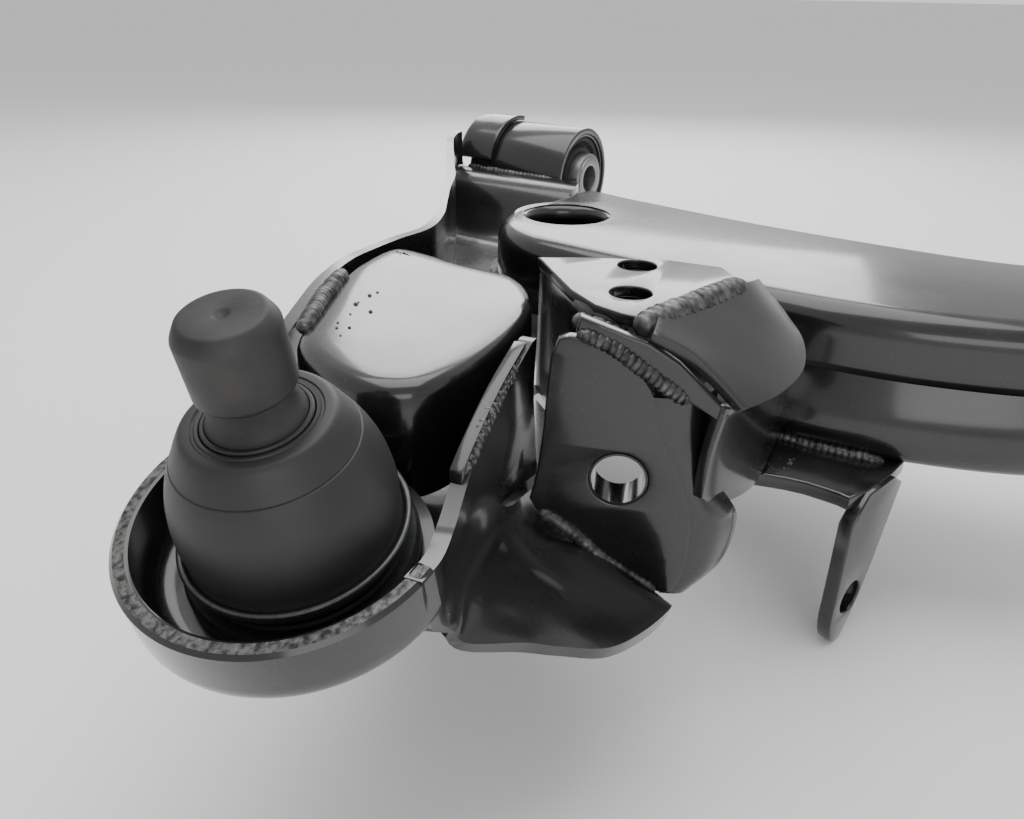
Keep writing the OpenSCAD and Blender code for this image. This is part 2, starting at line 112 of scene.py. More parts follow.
def linear(code):
    """sRGB hex to a linear colour."""
    parts = [int(code[i:i + 2], 16) / 255 for i in (1, 3, 5)]
    return [p / 12.92 if p <= 0.04045 else ((p + 0.055) / 1.055) ** 2.4 for p in parts] + [1]


def add(tree, kind, inputs=None, **settings):
    """A node with its settings, its input values and its links."""
    made = tree.nodes.new(kind)
    for key, value in settings.items():
        setattr(made, key, value)
    for key, value in (inputs or {}).items():
        if isinstance(value, bpy.types.NodeSocket):
            tree.links.new(value, made.inputs[key])
        else:
            made.inputs[key].default_value = value
    return made


def new_material(name):
    material = bpy.data.materials.new(name)
    material.use_nodes = True
    return material, material.node_tree, material.node_tree.nodes["Principled BSDF"]


# Painted board for the floor: matt, near white, one even tone.
floor_paint, tree, shader = new_material("painted_board")
shader.inputs["Base Color"].default_value = linear("#f7f7f6")
shader.inputs["Roughness"].default_value = 0.9
floor_z = cad_low.z - 0.0005
floor_mesh = bpy.data.meshes.new("floor")
floor_mesh.from_pydata([(-30, -30, floor_z), (30, -30, floor_z), (30, 30, floor_z), (-30, 30, floor_z)],
                       [], [(0, 1, 2, 3)])
floor_mesh.materials.append(floor_paint)
floor = bpy.data.objects.new("floor", floor_mesh)
bpy.context.scene.collection.objects.link(floor)

# ---- Main stamping: cup, channel, leg and skirt -------------------------------------------
# One pressing of 4 mm sheet. A round cup at the outer end takes the ball joint, a channel
# runs back from it to the rear bushing, and a skirt flares out below the damper ears.
sheet = 4.0
cup_outer, cup_depth = 38.0, 20.0
ball = Vector(joints["race_swivel"]["pos_m"])
joint_z = Vector(joints["race_swivel"]["axis"])
joint_x = Vector(joints["stud_tilt"]["axis"])
joint_y = joint_z.cross(joint_x)
ball_below_rim = 9.0
rim = ball + joint_z * ball_below_rim * mm
joint_place = Matrix.Translation(rim) @ Matrix((joint_x, joint_y, joint_z)).transposed().to_4x4()


def coat(name, dark, light, rough, metal):
    """Electrocoat on pressed steel: a thin even black film, glossy, with a fine orange peel
    and the slow waviness of the sheet below it, and a little handling dust. Its colour runs
    from dark to lighter in soft clouds at random, and the lighter clouds are painted sheen."""
    material, tree, shader = new_material(name)
    where = add(tree, "ShaderNodeTexCoord").outputs["Object"]
    cloud = add(tree, "ShaderNodeTexNoise", {"Vector": where, "Scale": 38, "Detail": 4})
    # the base colour goes from dark to lighter in soft clouds: the lighter clouds are painted sheen
    tone = add(tree, "ShaderNodeValToRGB", {"Fac": cloud.outputs["Fac"]})
    tone.color_ramp.elements[0].position, tone.color_ramp.elements[1].position = 0.35, 0.7
    tone.color_ramp.elements[0].color = linear(dark)
    tone.color_ramp.elements[1].color = linear(light)
    dust = add(tree, "ShaderNodeTexNoise", {"Vector": where, "Scale": 900, "Detail": 2})
    specks = add(tree, "ShaderNodeMapRange", {
        "Value": dust.outputs["Fac"], "From Min": 0.66, "From Max": 0.74, "To Max": 0.35})
    grey = add(tree, "ShaderNodeMix", {
        "Factor": specks.outputs["Result"], "A": tone.outputs["Color"], "B": linear("#4a4946")},
        data_type="RGBA")
    tree.links.new(grey.outputs["Result"], shader.inputs["Base Color"])
    shine = add(tree, "ShaderNodeMapRange", {
        "Value": cloud.outputs["Fac"], "From Min": 0.3, "From Max": 0.7,
        "To Min": rough - 0.05, "To Max": rough + 0.07})
    tree.links.new(shine.outputs["Result"], shader.inputs["Roughness"])
    shader.inputs["Metallic"].default_value = metal
    shader.inputs["Coat Weight"].default_value = 0.8
    shader.inputs["Coat Roughness"].default_value = 0.12
    peel = add(tree, "ShaderNodeTexNoise", {"Vector": where, "Scale": 620, "Detail": 2})
    wave = add(tree, "ShaderNodeTexNoise", {"Vector": where, "Scale": 26, "Detail": 1})
    fine = add(tree, "ShaderNodeBump", {
        "Height": peel.outputs["Fac"], "Strength": 0.12, "Distance": 0.0002})
    slow = add(tree, "ShaderNodeBump", {
        "Height": wave.outputs["Fac"], "Strength": 0.22, "Distance": 0.0016,
        "Normal": fine.outputs["Normal"]})
    tree.links.new(slow.outputs["Normal"], shader.inputs["Normal"])
    return material


black_coat = coat("black_electrocoat", "#141415", "#1f1f20", 0.27, 0.25)


def link(name, mesh):
    piece = bpy.data.objects.new(name, mesh)
    bpy.context.scene.collection.objects.link(piece)
    return piece


def settle(piece, sharp=38, outward=True):
    """Applies the modifiers, merges doubles, turns faces outwards and smooths the shading."""
    bpy.context.view_layer.update()
    graph = bpy.context.evaluated_depsgraph_get()
    mesh = bpy.data.meshes.new_from_object(piece.evaluated_get(graph))
    piece.modifiers.clear()
    tidy = bmesh.new()
    tidy.from_mesh(mesh)
    bmesh.ops.remove_doubles(tidy, verts=tidy.verts, dist=0.000004)
    if outward:
        bmesh.ops.recalc_face_normals(tidy, faces=tidy.faces)
    tidy.to_mesh(mesh)
    tidy.free()
    mesh.polygons.foreach_set("use_smooth", [True] * len(mesh.polygons))
    mesh.set_sharp_from_angle(angle=math.radians(sharp))
    piece.data = mesh
    return piece


def soften(piece, width, angle=42, segments=2):
    edge = piece.modifiers.new("edge", "BEVEL")
    edge.width, edge.segments = width * mm, segments
    edge.limit_method, edge.angle_limit = "ANGLE", math.radians(angle)
    edge.harden_normals = False


def finish_piece(piece, body, slot, material, *nodes):
    """Gives a piece its material and its body, and hides what it stands for. The slot is not used."""
    piece.data.materials.clear()
    piece.data.materials.append(material)
    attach(piece, body)
    if nodes:
        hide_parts(*nodes)
    return piece


def through(points, per, closed=False):
    """Points on the smooth curve that passes through the given ones."""
    points = [Vector(p) for p in points]
    count = len(points)
    line = []
    for i in range(count if closed else count - 1):
        b, c = points[i], points[(i + 1) % count]
        a = points[i - 1] if closed or i else b * 2 - c
        d = points[(i + 2) % count] if closed or i + 2 < count else c * 2 - b
        for k in range(per):
            t = k / per
            line.append((b * 2 + (c - a) * t + (a * 2 - b * 5 + c * 4 - d) * t * t
                         + (b * 3 - a - c * 3 + d) * t ** 3) / 2)
    return line if closed else line + [points[-1]]


def pressed(name, rows, thick, per=(4, 5), side=-1, edge=0.5):
    """Sheet metal pressed smoothly through rows of points, with softened cut edges."""
    lines = [through(row, per[1]) for row in rows]
    net = [through(column, per[0]) for column in zip(*lines)]
    high = len(net[0])
    faces = [(i * high + j, (i + 1) * high + j, (i + 1) * high + j + 1, i * high + j + 1)
             for i in range(len(net) - 1) for j in range(high - 1)]
    mesh = bpy.data.meshes.new(name)
    mesh.from_pydata([p * mm for column in net for p in column], [], faces)
    piece = link(name, mesh)
    wall = piece.modifiers.new("thickness", "SOLIDIFY")
    wall.thickness, wall.offset, wall.use_even_offset = thick * mm, side, True
    soften(piece, edge)
    return settle(piece)


def turned(name, profile, place, steps=96, start=0.0, sweep=360.0, edge=0.0):
    """A closed profile of radius and height turned about the local z axis."""
    full = abs(sweep) >= 360
    count = steps if full else steps + 1
    corners = []
    for i in range(count):
        angle = math.radians(start + sweep * i / steps)
        corners += [place @ (Vector((r * math.cos(angle), r * math.sin(angle), z)) * mm)
                    for r, z in profile]
    size = len(profile)
    faces = []
    for i in range(steps):
        for j in range(size):
            a, b = i * size, ((i + 1) % count) * size
            faces.append((a + j, b + j, b + (j + 1) % size, a + (j + 1) % size))
    if not full:
        faces += [tuple(range(size)), tuple(steps * size + j for j in range(size - 1, -1, -1))]
    mesh = bpy.data.meshes.new(name)
    mesh.from_pydata(corners, [], faces)
    tidy = bmesh.new()
    tidy.from_mesh(mesh)
    bmesh.ops.remove_doubles(tidy, verts=tidy.verts, dist=0.000004)
    bmesh.ops.dissolve_degenerate(tidy, edges=tidy.edges, dist=0.000001)
    tidy.to_mesh(mesh)
    tidy.free()
    piece = link(name, mesh)
    if edge:
        soften(piece, edge)
    return settle(piece)


def arc(radius, centre, first, last, count):
    """Points on an arc of a profile, from one angle to another in degrees."""
    turn = [math.radians(first + (last - first) * i / (count - 1)) for i in range(count)]
    return [(centre[0] + radius * math.cos(t), centre[1] + radius * math.sin(t)) for t in turn]


cup_corner = 9.0
cup_profile = ([(cup_outer - sheet, -0.4), (cup_outer - sheet + 0.8, 0), (cup_outer - 0.9, 0),
                (cup_outer, -0.9)]
               + arc(cup_corner, (cup_outer - cup_corner, -cup_depth + cup_corner), 0, -90, 12)
               + [(23.1, -cup_depth), (23.1, -cup_depth + sheet)]
               + arc(cup_corner - sheet, (cup_outer - cup_corner, -cup_depth + cup_corner),
                     -90, 0, 9))
cup_wall = turned("cup_wall", cup_profile, joint_place, 110, -124, 216)
cup_floor = turned("cup_floor", [(23.1, -cup_depth + 0.02), (23.1, -cup_depth + sheet - 0.02),
                                 (cup_outer - cup_corner + 0.5, -cup_depth + sheet - 0.02),
                                 (cup_outer - cup_corner + 0.5, -cup_depth + 0.02)],
                   joint_place, 60, 91, 146)
# rear wall and floor of the channel: x, wall y, floor edge y, floor z, wall top z
channel = [(318, 103.5, 168, -24.5, -1), (304, 98, 166, -22, 5), (288, 92, 163, -25.5, 10),
           (266, 79, 159, -29.5, 11), (246, 67, 157, -30, 11), (225, 58, 144, -30, 11),
           (209, 54, 127, -30, 10.5), (190, 51, 133, -30, 10), (168, 48, 134, -30, 9),
           (148, 39, 134, -30, 9), (131, 28, 68, -30, 10), (110, 14, 53, -30, 11),
           (90, 2, 47, -30, 12), (76, -9, 45, -30, 13.5), (64, -18, 45, -26.5, 15.5),
           (54, -26, 46, -16, 17.5), (46, -32, 47, -5, 19), (40, -36, 47, -1, 20.5),
           (33, -38.6, 45, 0, 21.8), (27, -39, 42, -0.5, 22.6)]
channel_rows = [[(x, far, low), (x, (far + wall) / 2, low), (x, wall + 9, low), (x, wall + 3, low + 1),
                 (x, wall + 0.6, low + 4), (x, wall, low + 9), (x, wall, (low + top) / 2 + 3),
                 (x, wall, top)]
                for x, wall, far, low, top in channel]
channel_sheet = pressed("channel", channel_rows, sheet, (5, 4), -1)
# front wall running into the skirt: from the top edge down and out to the lip
skirt_rows = [[(331, 178, -7.7), (329.5, 177.5, -15), (327.5, 176.5, -21), (325.5, 176, -24.5),
               (323, 176, -27)],
              [(322, 176, -8.4), (321.6, 176, -17), (320.6, 175.6, -25), (319.6, 175.8, -28),
               (318.6, 176, -30.6)],
              [(311, 171, -8.8), (311, 171, -18), (311, 171.6, -26), (313, 174.8, -31), (316, 178.5, -34)],
              [(303, 168, -5), (303, 168, -16), (303, 168.8, -27), (303.5, 176, -34), (304, 185.5, -39)],
              [(294, 165.6, 2), (294, 165.6, -10), (294, 166.4, -28), (296, 179, -36.5), (298, 191, -41.8)],
              [(280, 162, 8), (280, 162, -8), (280, 163, -29), (284, 180, -38), (289, 199.5, -44.6)],
              [(268, 159.6, 11.6), (268, 159.6, -6), (268, 160, -32), (272, 181, -42), (276, 203, -47)],
              [(259, 157.6, 14), (259, 157.6, -6), (257, 158, -35), (257, 180, -46), (259, 203, -51.5)],
              [(256, 157, 14), (256, 157, -8), (249, 158, -40), (246, 179, -52), (247, 198, -60)]]
skirt_sheet = pressed("skirt", skirt_rows, sheet, (5, 6), -1)
# the end of the channel wall is curled over the bushing ring
ring_radius = 27.0
curl = []
for k, y in enumerate((-38.6, -37.9, -36, -30, -22, -14.5)):
    lift = (-3.5, -1.0, 0.6, 1.1, 1.1, 1.1)[k]
    curl.append([(math.cos(math.radians(a)) * (ring_radius + lift + 2), y,
                  math.sin(math.radians(a)) * (ring_radius + lift + 2))
                 for a in (18, 34, 52, 70, 88, 104)])
curl_sheet = pressed("curl", curl, 2.6, (4, 4), 1)
# a thin band over the cup's rim in a brighter, scratched metal colour: a painted highlight along the rim
rim_highlight_band = turned("cup_rim", [(cup_outer - sheet + 0.7, -0.3), (cup_outer - sheet + 0.7, 0.03),
                              (cup_outer - 0.9, 0.03), (cup_outer - 0.9, -0.3)],
                  joint_place, 110, -123.5, 214.5)
stamping = [cup_wall, cup_floor, channel_sheet, skirt_sheet, curl_sheet]
for piece in stamping:
    finish_piece(piece, "arm", "ecoat_steel", black_coat, "main_stamping")

# ---- Inner panel ---------------------------------------------------------------------------
# A 3 mm pressed hat that boxes in the outer end of the channel. Its top is flat with a
# round crest, and two of its sides drop down to the channel floor.
def ring_inset(loop, depth):
    """A closed level loop moved inwards in plan."""
    area = sum(a.x * b.y - b.x * a.y for a, b in zip(loop, loop[1:] + loop[:1]))
    turn = 1 if area > 0 else -1
    moved = []
    for i, p in enumerate(loop):
        along = loop[(i + 1) % len(loop)] - loop[i - 1]
        normal = Vector((-along.y, along.x, 0)) * turn
        moved.append(p + normal.normalized() * depth)
    return moved


def stacked(name, loops, thick, cutters=(), edge=0.5, sharp=38):
    """A shell over closed loops, from its open edge up to a flat top, cut by solids."""
    size = len(loops[0])
    corners = [p * mm for loop in loops for p in loop]
    faces = [(k * size + i, k * size + (i + 1) % size, (k + 1) * size + (i + 1) % size,
              (k + 1) * size + i) for k in range(len(loops) - 1) for i in range(size)]
    faces.append(tuple((len(loops) - 1) * size + i for i in range(size)))
    mesh = bpy.data.meshes.new(name)
    mesh.from_pydata(corners, [], faces)
    piece = link(name, mesh)
    wall = piece.modifiers.new("thickness", "SOLIDIFY")
    wall.thickness, wall.offset, wall.use_even_offset = thick * mm, -1, False
    for cutter in cutters:
        cut = piece.modifiers.new("cut", "BOOLEAN")
        cut.operation, cut.solver, cut.object = "DIFFERENCE", "EXACT", cutter
    soften(piece, edge, 55)
    return settle(piece, sharp)


def lifted(loop, height):
    return [Vector((p.x, p.y, height)) for p in loop]


hat_top, hat_sheet = 12.0, 3.0
hat_plan = [(203, 66, 8), (226, 67, 8), (247, 76, 8), (270, 90, 8), (288, 101, 0), (297, 118, -14),
            (300, 131, -17), (298.6, 140, -18.5), (293, 147, -19), (282, 149.4, -19),
            (266, 148.4, -19), (247, 145, -19), (227, 138, -19),
            (208, 121, -19), (205, 96, 4)]
hat_edge = through(hat_plan, 6, True)
hat_loops = [hat_edge, lifted(ring_inset(hat_edge, 0.4), 8.2), lifted(ring_inset(hat_edge, 1.2), 10.2),
             lifted(ring_inset(hat_edge, 2.8), 11.5), lifted(ring_inset(hat_edge, 5.5), hat_top - 0.1),
             lifted(ring_inset(hat_edge, 9), hat_top)]
inner_panel = stacked("inner_panel_skin", hat_loops, hat_sheet)
finish_piece(inner_panel, "arm", "ecoat_steel", black_coat, "inner_panel")

# ---- Web plate -------------------------------------------------------------------------------
# A narrow strip of 3.4 mm plate behind the front wall. The weld along its top and the band on
# the cup's rim get a brighter metal colour, a painted highlight.
def painted_highlight_metal(name):
    """Brighter, scratched metal colour for a band and a bead: a painted highlight, lighter than the faces beside
    it.
    """
    material, tree, shader = new_material(name)
    where = add(tree, "ShaderNodeTexCoord").outputs["Object"]
    grit = add(tree, "ShaderNodeTexNoise", {"Vector": where, "Scale": 700, "Detail": 5})
    tone = add(tree, "ShaderNodeValToRGB", {"Fac": grit.outputs["Fac"]})
    tone.color_ramp.elements[0].position, tone.color_ramp.elements[1].position = 0.36, 0.62
    tone.color_ramp.elements[0].color = linear("#2c2c2c")
    tone.color_ramp.elements[1].color = linear("#6e6c6a")
    tree.links.new(tone.outputs["Color"], shader.inputs["Base Color"])
    shader.inputs["Metallic"].default_value = 0.6
    shader.inputs["Roughness"].default_value = 0.42
    rough = add(tree, "ShaderNodeBump", {
        "Height": grit.outputs["Fac"], "Strength": 0.5, "Distance": 0.0004})
    tree.links.new(rough.outputs["Normal"], shader.inputs["Normal"])
    return material


# brighter metal colour used as a painted highlight on the rim band and the web weld
bright_edge = painted_highlight_metal("ground_steel_edge")
finish_piece(rim_highlight_band, "arm", "ecoat_steel", bright_edge)
web_path = [(303, 163.4, -16, -1), (296, 161.8, -17, 3), (280, 157.9, -19, 9.5), (262.5, 154.2, -22, 15)]
web_rows = [[(x, y, low), (x, y, (low + top) / 2), (x, y, top)] for x, y, low, top in web_path]
web_plate = pressed("web_plate_skin", web_rows, 3.4, (4, 3), -1, 0.4)
finish_piece(web_plate, "arm", "ecoat_steel", black_coat, "web_plate")

# ---- Damper pocket -----------------------------------------------------------------------------
# A closing plate with two drain holes, a roof plate with a rounded wing, an upright side and
# an outer ear with a curled edge make a pocket for the damper's eye. The roof and the side
# are 3.2 mm sheet and the others 3.5 mm.
plate_sheet, roof_sheet = 3.5, 3.2
bolt = mounts["damper_bolt_bore"]
ear_z = Vector(bolt["axis"])
ear_x = Vector((-ear_z.y, ear_z.x, 0))
outer_end = 3.4
ear_origin = Vector(bolt["pos_m"]) + ear_z * (bolt["dims"]["length_mm"] / 2 - outer_end) * mm
ear_place = Matrix.Translation(ear_origin) @ Matrix(
    (ear_x, Vector((0, 0, 1)), ear_z)).transposed().to_4x4()


def chaikin(points, times=2):
    """A closed outline with its corners cut round."""
    for _ in range(times):
        points = [p for a, b in zip(points, points[1:] + points[:1])
                  for p in ((a[0] * 0.75 + b[0] * 0.25, a[1] * 0.75 + b[1] * 0.25),
                            (a[0] * 0.25 + b[0] * 0.75, a[1] * 0.25 + b[1] * 0.75))]
    return points


def plate(name, outline, holes, thick, place, edge=0.5):
    """A flat plate with round holes and softened edges. Its underside is local z = 0."""
    curve = bpy.data.curves.new(name, "CURVE")
    curve.dimensions, curve.fill_mode = "2D", "BOTH"
    inner = ring_inset([Vector((x, y, 0)) for x, y in outline], edge)
    rings = [[(p.x, p.y) for p in inner]]
    for x, y, radius in holes:
        rings.append([(x + (radius + edge) * math.cos(math.tau * k / 48),
                       y + (radius + edge) * math.sin(math.tau * k / 48)) for k in range(48)])
    for ring in rings:
        spline = curve.splines.new("POLY")
        spline.points.add(len(ring) - 1)
        for point, (x, y) in zip(spline.points, ring):
            point.co = (x * mm, y * mm, 0, 1)
        spline.use_cyclic_u = True
    curve.extrude, curve.bevel_depth = (thick / 2 - edge) * mm, edge * mm
    curve.bevel_resolution = 2
    drawn = link(name, curve)
    bpy.context.view_layer.update()
    mesh = bpy.data.meshes.new_from_object(
        drawn.evaluated_get(bpy.context.evaluated_depsgraph_get()))
    bpy.data.objects.remove(drawn)
    mesh.transform(place @ Matrix.Translation((0, 0, thick / 2 * mm)))
    return settle(link(name, mesh), 50)


closing_top = 20.0
closing_plan = [(208, 128), (212, 131.5), (238, 160), (242, 178), (237, 180.5), (198, 192), (181, 176)]
closing_plate = plate("closing_plate_skin", chaikin(closing_plan, 1), [(224, 168, 6), (199, 158, 6)],
                      plate_sheet, Matrix.Translation((0, 0, (closing_top - plate_sheet) * mm)))
finish_piece(closing_plate, "arm", "ecoat_steel", black_coat, "closing_plate")
fold_rows = [[(208.6, 128.6, -26), (208.6, 128.6, -4), (208.5, 128.9, 15.5), (207.6, 130, 19)],
             [(223, 144.2, -26), (223, 144.2, -4), (223, 144.4, 15.5), (222, 145.4, 19)],
             [(236, 158, -26), (236, 158, -4), (236, 158.2, 15.5), (235, 159, 19)],
             [(240.4, 166, 2), (240.4, 166, 8), (240.2, 166.2, 15.5), (239, 166.6, 19)],
             [(241.6, 176, 8), (241.6, 176, 11), (241.4, 176, 15.5), (240.2, 176, 19)]]
closing_fold = pressed("closing_plate_fold", fold_rows, plate_sheet, (4, 4), 1)
finish_piece(closing_fold, "arm", "ecoat_steel", black_coat)
roof_rows = [[(250, 185.5, 17.5), (246, 194, 13.2), (243.5, 199.5, 8.2), (241, 205, 2.2), (240, 207, 0)],
             [(238, 183, 19.6), (236, 194, 13.4), (232, 201, 8.4), (228, 208, 2.4), (226, 211.5, -0.6)],
             [(218, 187.5, 19.6), (218, 196.6, 13.8), (215, 203, 8.8), (211, 209.4, 3), (209, 212.6, 0)],
             [(202, 191.5, 19.6), (203, 198.4, 14), (200, 202.4, 10), (197, 206.4, 5.4), (196, 208.6, 3.4)],
             [(190, 191, 17.5), (190, 194.6, 14.4), (189, 197, 11.4), (188, 199, 9), (187.6, 200, 7.6)]]
roof = pressed("cover_plate_roof", roof_rows, roof_sheet, (6, 5), 1)
finish_piece(roof, "arm", "ecoat_steel", black_coat, "cover_plate")
roof_lip = [(-11.9, 45.4), (-1.1, 41.6), (5.2, 39.5), (13, 34.7), (18.4, 29.7), (24.6, 23.8), (26.2, 21),
            (23.5, 20), (16.4, 24.2), (9, 28.3), (3.7, 32.3), (-4.2, 37.7), (-13.1, 41.1)]
roof_flange = plate("cover_plate_flange", roof_lip, [], plate_sheet, ear_place, 0.7)
finish_piece(roof_flange, "arm", "ecoat_steel", black_coat)
side_rows = [[(244.4, 202.8, -25), (243.8, 203.4, -12), (243, 205.6, 2)],
             [(232, 203.6, -33), (231.6, 204, -16), (231, 206, -1)],
             [(200, 203.6, -44), (200, 203.8, -26), (200, 204.6, -6)],
             [(178, 202, -44), (178, 202, -30), (178, 202.4, -12)],
             [(152, 198.6, -44), (152, 198.6, -32), (152, 198.8, -19)]]
pocket_side = pressed("pocket_side_skin", side_rows, roof_sheet, (4, 4), 1)
finish_piece(pocket_side, "arm", "ecoat_steel", black_coat, "pocket_side")
ear_plan = [(-24.3, -10.5), (-14.9, -16), (-3.1, -26.5), (11.6, -35.2), (16.9, -36.6), (20.6, -28),
            (20.8, -11), (17.4, -1), (14, 7.8), (9.6, 16.3), (8, 25), (3.4, 32),
            (-4.5, 37.4), (-13.4, 40.8), (-19, 38.5), (-20.3, 22), (-20.6, 13.4), (-22.3, -2.2)]
ear_hole = 7.9
ear_plate = plate("ear_plate_skin", chaikin(ear_plan, 1), [(0, 0, ear_hole)], plate_sheet, ear_place, 0.6)
finish_piece(ear_plate, "arm", "ecoat_steel", black_coat, "ear_plate")
# the curled edge of the ear: inner x, height, outer x of each section
curl_stations = [(8, 25, 24.4), (9.8, 16.3, 24.4), (14.2, 7.8, 24.4), (17.6, -1, 25), (20.4, -9, 31),
                 (21, -14, 34), (21, -21, 34), (20, -29, 32), (16.6, -36, 25.5)]
ear_curl_rows = []
for inner, height, outer in curl_stations:
    span = outer - inner
    ear_curl_rows.append([ear_place @ (Vector(p) * mm) / mm for p in (
        (inner - 2.5, height, plate_sheet - 0.1), (inner + span * 0.22, height, plate_sheet - 0.4),
        (inner + span * 0.55, height - 0.2, 1.2), (inner + span * 0.85, height - 0.4, -3.6),
        (outer, height - 0.5, -8.6))])
ear_curl = pressed("ear_plate_curl", ear_curl_rows, plate_sheet, (5, 5), 1)
finish_piece(ear_curl, "arm", "ecoat_steel", black_coat)

# ---- Box beam --------------------------------------------------------------------------------
# Two pressed 3.2 mm shells welded along a lapped seam. The upper one has a round hole with a
# pressed-in lip. The beam curves from the channel out and back to the front bushing.
beam_sheet = 3.2
beam_top, beam_bottom, seam = 3.0, -46.0, -20.0
front = Vector(mounts["front_bush_bore"]["pos_m"])
beam_plan = [(34, 51), (70, 47), (98, 44), (114, 49), (128, 60), (137, 74), (141, 92), (146, 140),
             (149, 186), (148, 215), (143, 242), (132, 272), (114, 302), (92, 328), (70, 350), (52, 364),
             (34, 371), (18, 371.5), (3, 371.5), (3, 350), (3, 330), (12, 324), (28, 306), (42, 280),
             (51, 250), (53, 218), (50, 160), (44, 118), (38, 84)]
beam_edge = through([(x, y, 0) for x, y in beam_plan], 4, True)
ring_place = {"rear": Matrix.Rotation(-math.pi / 2, 4, "X"),
              "front": Matrix.Translation(front) @ Matrix.Rotation(-math.pi / 2, 4, "X")}


def cutter(name, radius, length, place):
    half = length / 2
    made = turned(name, [(0, -half), (radius, -half), (radius, half), (0, half)], place, 64)
    made.hide_render = True
    return made


ring_length = 60.0
ring_cut = cutter("ring_cut", ring_radius + 0.05, ring_length + 4, ring_place["front"])
hole_centre, hole_radius = Vector((92, 72, 0)), 18.0
hole_cut = cutter("hole_cut", hole_radius + 2.2, 30, Matrix.Translation(hole_centre * mm))
upper_loops = [lifted(beam_edge, seam), lifted(beam_edge, seam + 6), lifted(beam_edge, beam_top - 11)]
for k in range(1, 8):
    turn = math.radians(90 * k / 7)
    upper_loops.append(lifted(ring_inset(beam_edge, 9 * (1 - math.cos(turn))),
                              beam_top - 9 + 9 * math.sin(turn) - 0.3 * (1 - k / 7)))
beam_upper = stacked("beam_upper_skin", upper_loops, beam_sheet, (ring_cut, hole_cut))
finish_piece(beam_upper, "arm", "ecoat_steel", black_coat, "beam_upper")
lean = 6.0
beam_low_edge = [p + Vector((lean if p.x > 118 else max(0.0, lean * (p.x - 100) / 18), 0, 0))
                 for p in beam_edge]
low_mid = [a.lerp(b, 0.55) for a, b in zip(beam_edge, beam_low_edge)]
lower_loops = [lifted(ring_inset(beam_edge, -0.01), seam - 0.2), lifted(low_mid, seam - 8),
               lifted(beam_low_edge, beam_bottom + 9)]
for k in range(1, 6):
    turn = math.radians(90 * k / 5)
    lower_loops.append(lifted(ring_inset(beam_low_edge, 8 * (1 - math.cos(turn))),
                              beam_bottom + 8 - 8 * math.sin(turn)))
beam_lower = stacked("beam_lower_skin", lower_loops, beam_sheet, (ring_cut,))
finish_piece(beam_lower, "arm", "ecoat_steel", black_coat, "beam_lower")
lip_profile = [(hole_radius + 6, beam_top + 0.02), (hole_radius + 2.6, beam_top - 0.5),
               (hole_radius + 0.8, beam_top - 1.6), (hole_radius, beam_top - 3.4),
               (hole_radius, beam_top - 6.4), (hole_radius + 2, beam_top - 6.4),
               (hole_radius + 2.2, beam_top - 3.8), (hole_radius + 3.6, beam_top - 2.6),
               (hole_radius + 6, beam_top - 2.2)]
hole_lip = turned("beam_hole_lip", lip_profile, Matrix.Translation(hole_centre * mm))
finish_piece(hole_lip, "arm", "ecoat_steel", black_coat)
for spent in (ring_cut, hole_cut):
    bpy.data.objects.remove(spent)

# ---- Stabiliser link tab ---------------------------------------------------------------------
# A 5 mm bracket welded under the beam: a flat foot with one end bent down square, and a
# round hole for the link's stud near the tip.
link_hole = mounts["link_hole"]
tab_sheet = link_hole["dims"]["length_mm"]
tab_z = Vector(link_hole["axis"])
tab_x = Vector((-tab_z.y, tab_z.x, 0))
tab_place = Matrix.Translation(Vector(link_hole["pos_m"]) - tab_z * tab_sheet / 2 * mm) @ Matrix(
    (tab_x, Vector((0, 0, 1)), tab_z)).transposed().to_4x4()
tab_plan = [(-11, 42.4), (-11, 5), (-11.6, -5), (-9.6, -12.8), (-6, -16.9), (-2, -16.9), (2, -12), (7, -3),
            (12, 9), (17, 25), (22.4, 42.4)]
tab = plate("tab_bracket_tab", chaikin(tab_plan, 1), [(0, 0, link_hole["dims"]["r_mm"])], tab_sheet,
            tab_place, 0.7)
finish_piece(tab, "arm", "ecoat_steel", black_coat, "tab_bracket")
foot_plan = [(189, 188), (185, 199), (181, 213), (181.5, 225), (182.6, 232), (150, 240), (140, 238.5),
             (138, 196), (160, 186)]
foot = plate("tab_bracket_foot", chaikin(foot_plan, 1), [], tab_sheet,
             Matrix.Translation((0, 0, (beam_bottom - 1 - tab_sheet) * mm)), 0.9)
finish_piece(foot, "arm", "ecoat_steel", black_coat)

# ---- Welds -----------------------------------------------------------------------------------
# Robot-laid beads under the coat. The solidified puddles leave a row of ripples along each
# bead, and small balls of spatter stick to the sheet beside it.
def weld_metal(name):
    """Coated weld metal: duller and rougher than the sheet, paler where the film is thin."""
    material, tree, shader = new_material(name)
    where = add(tree, "ShaderNodeTexCoord").outputs["Object"]
    grit = add(tree, "ShaderNodeTexNoise", {"Vector": where, "Scale": 300, "Detail": 4})
    tone = add(tree, "ShaderNodeValToRGB", {"Fac": grit.outputs["Fac"]})
    tone.color_ramp.elements[0].position, tone.color_ramp.elements[1].position = 0.35, 0.72
    tone.color_ramp.elements[0].color = linear("#303132")
    tone.color_ramp.elements[1].color = linear("#6e6d6b")
    tree.links.new(tone.outputs["Color"], shader.inputs["Base Color"])
    shader.inputs["Metallic"].default_value = 0.5
    shader.inputs["Roughness"].default_value = 0.4
    rough = add(tree, "ShaderNodeBump", {
        "Height": grit.outputs["Fac"], "Strength": 0.45, "Distance": 0.0005})
    tree.links.new(rough.outputs["Normal"], shader.inputs["Normal"])
    return material


coated_weld = weld_metal("coated_weld_metal")


